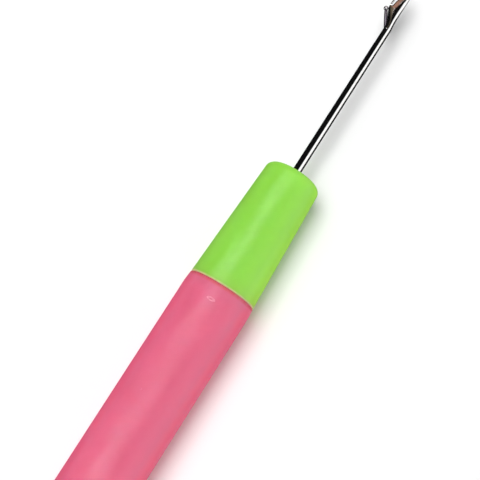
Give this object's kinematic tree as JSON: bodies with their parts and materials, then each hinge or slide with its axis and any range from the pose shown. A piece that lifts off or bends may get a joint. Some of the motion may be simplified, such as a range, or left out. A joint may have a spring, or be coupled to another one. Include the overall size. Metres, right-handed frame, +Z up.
{
  "type": "double-ended latch hook",
  "caption": "Needlework hook with a round plastic handle, a tapered collar at each end, and a steel latch needle in each collar, the latch turning on a rivet.",
  "frame": {"origin": "centre of the tool's length and width, on the surface it lies on", "axes": "+X along the tool towards the larger needle, whose hook opens to +Y; +Z up. The tool's axis runs along X at z = 6 mm"},
  "size_m": [0.169, 0.012, 0.012],
  "materials": {
    "handle_pink": "satin moulded plastic, slightly translucent",
    "collar_green": "satin moulded plastic, slightly translucent",
    "needle_plating": "bright nickel plate with fine lengthwise polishing marks",
    "latch_steel": "tumbled steel",
    "rivet_steel": "ground flush"
  },
  "bodies": {
    "handle": {"handle_sleeve": "handle_pink", "collar_a": "collar_green", "collar_b": "collar_green", "needle_a": "needle_plating", "needle_b": "needle_plating", "rivet_a": "rivet_steel", "rivet_b": "rivet_steel"},
    "latch_a": {"latch_a": "latch_steel"},
    "latch_b": {"latch_b": "latch_steel"}
  },
  "joints": [
    {"name": "latch_a_hinge", "type": "hinge", "parent": "handle", "child": "latch_a", "pos_m": [0.07554, 0.0004, 0.006], "axis": [0, 0, 1], "range_deg": [-1, 136]},
    {"name": "latch_b_hinge", "type": "hinge", "parent": "handle", "child": "latch_b", "pos_m": [-0.07715, -0.00036, 0.006], "axis": [0, 0, 1], "range_deg": [-1, 136]}
  ]
}
